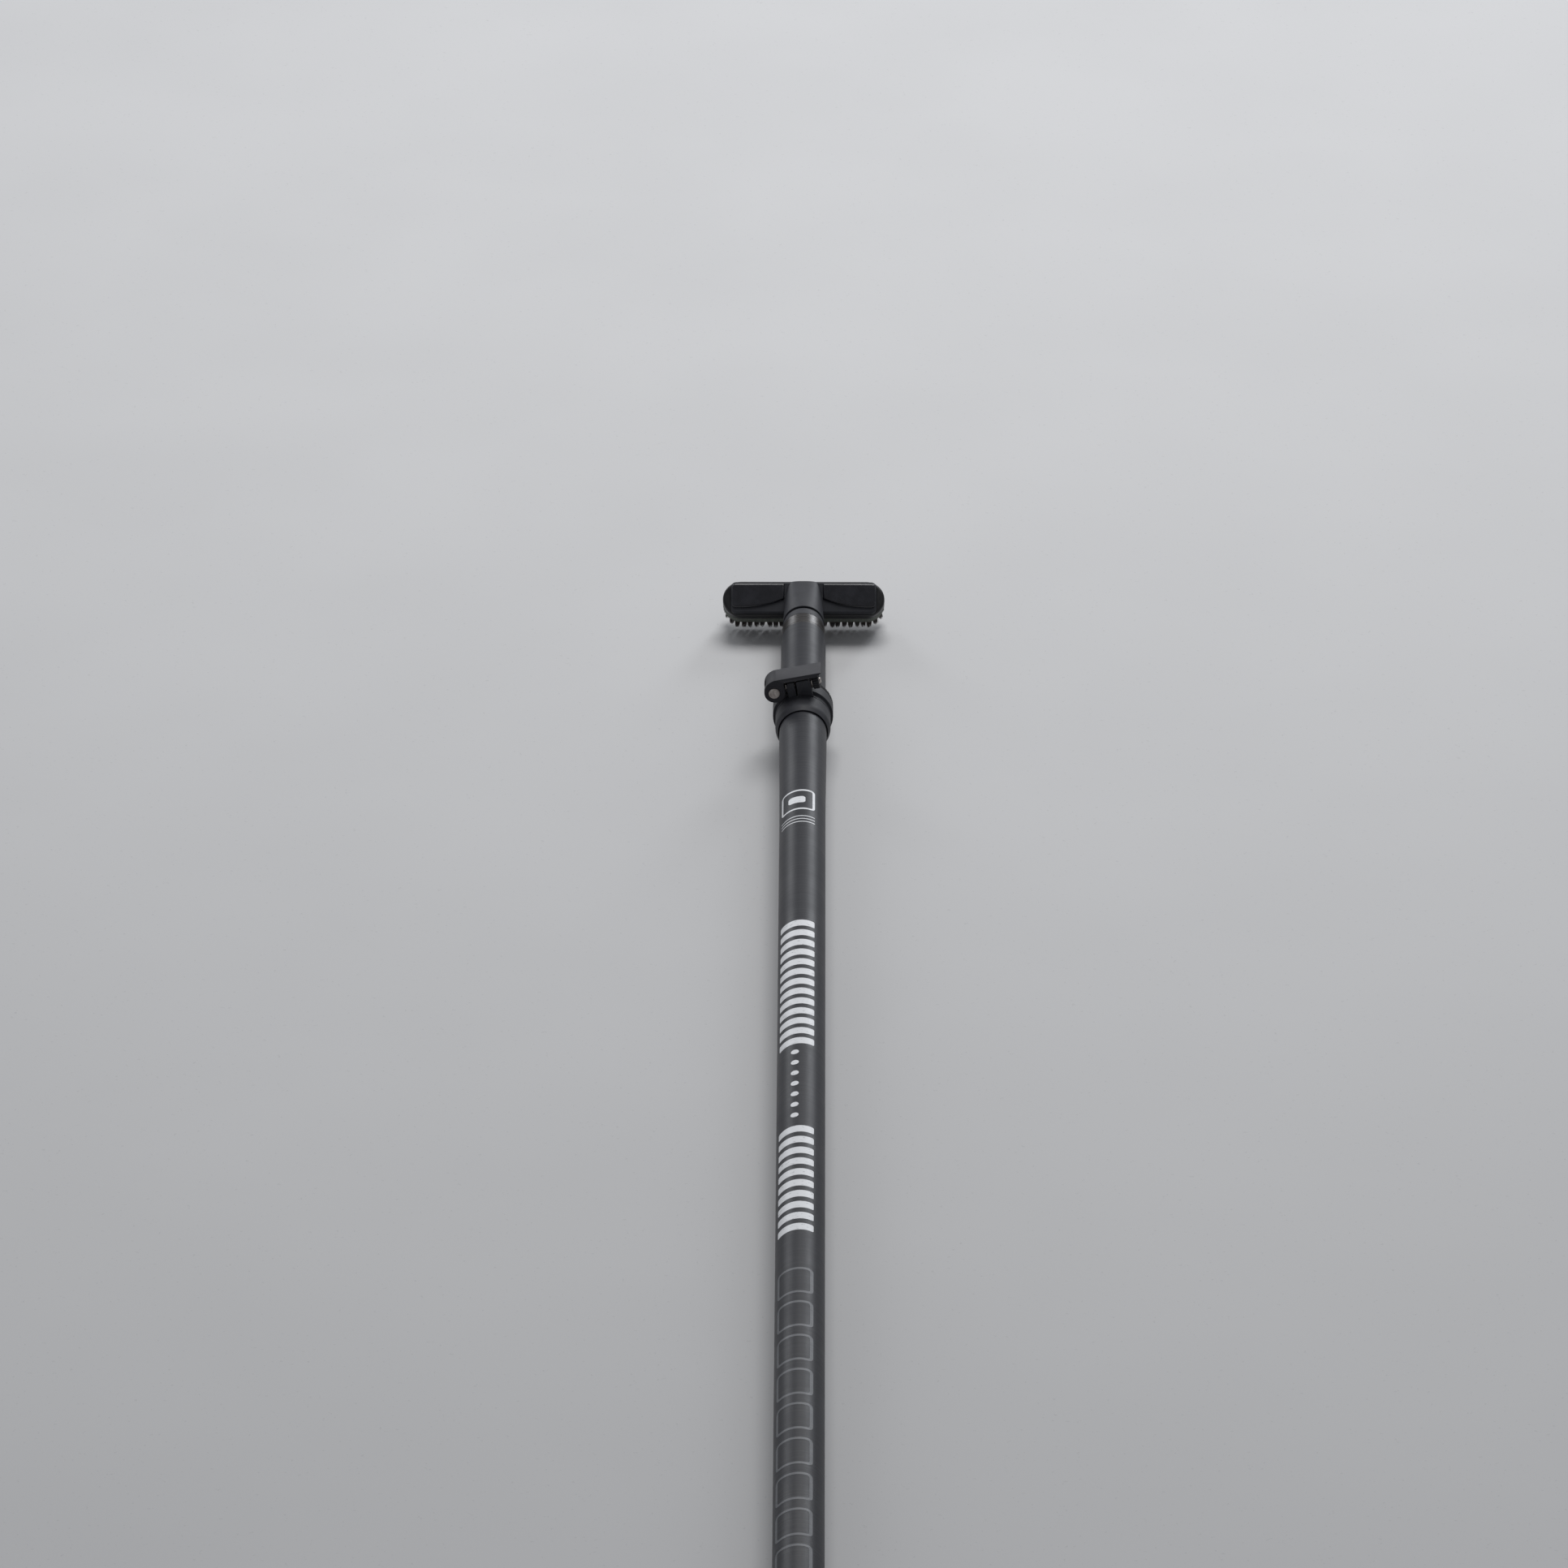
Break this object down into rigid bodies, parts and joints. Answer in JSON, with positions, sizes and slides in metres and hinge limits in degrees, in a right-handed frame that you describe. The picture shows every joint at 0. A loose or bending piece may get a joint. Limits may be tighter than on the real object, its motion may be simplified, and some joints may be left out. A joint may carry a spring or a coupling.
{
  "type": "suction pole section",
  "caption": "Carbon tube section of a high-reach suction pole, with a lever clamp, a plug-in upper tube and a T-shaped brush nozzle.",
  "frame": {"origin": "centre of the lower tube's open end, on the pole's axis, where the next section or the operator holds the pole", "axes": "+Y along the pole to the nozzle, +X across the nozzle, +Z away from the surface being cleaned"},
  "size_m": [0.15, 1.7681, 0.0862],
  "materials": {
    "carbon_tube": "satin carbon fibre tube with fine turned lines",
    "satin_plastic": "satin dark grey moulding",
    "gloss_plastic": "gloss blue-black moulding",
    "bumper_plastic": "smooth black, soft gloss",
    "strip_plastic": "dull grey-green",
    "bristle": "black-brown hair tufts",
    "polished_band": "polished dark ring",
    "clamp_plastic": "fine-grained glass-filled nylon",
    "lever_plastic": "fine-grained grey-black",
    "nut_plastic": "matte black, ridged",
    "rubber": "matte black",
    "steel": "turned, slightly warm"
  },
  "bodies": {
    "lower_section": {"lower_tube": "carbon_tube", "socket_seal": "rubber", "clamp_body": "clamp_plastic", "clamp_liner": "rubber", "pivot_pin": "steel", "clamp_screw": "steel", "cam_washer": "steel", "nut_washer": "steel"},
    "upper_section": {"upper_tube": "carbon_tube", "adapter": "satin_plastic", "adapter_ferrule": "polished_band", "spigot_seal": "rubber"},
    "nozzle": {"nozzle_body": "satin_plastic", "cover_left": "gloss_plastic", "cover_right": "gloss_plastic", "brush_frame": "bumper_plastic", "brush_strip": "strip_plastic", "bristles_near": "bristle", "bristles_far": "bristle", "bristles_left": "bristle", "bristles_right": "bristle"},
    "lever": {"lever": "lever_plastic"},
    "adjuster_nut": {"adjuster_nut": "nut_plastic"}
  },
  "joints": [
    {"name": "section_slide", "type": "slide", "parent": "lower_section", "child": "upper_section", "axis": [0, 1, 0], "range_m": [0, 0.09]},
    {"name": "nozzle_swivel", "type": "hinge", "parent": "upper_section", "child": "nozzle", "pos_m": [0, 1.7, 0], "axis": [0, 1, 0], "continuous": true},
    {"name": "lever_hinge", "type": "hinge", "parent": "lower_section", "child": "lever", "pos_m": [-0.02598, 1.5116, 0.02737], "axis": [0, -1, 0], "range_deg": [0, 150]},
    {"name": "nut_spin", "type": "hinge", "parent": "lower_section", "child": "adjuster_nut", "pos_m": [0.0093, 1.5116, 0.03455], "axis": [0.9799, 0, 0.1994], "range_deg": [0, 1080]}
  ]
}
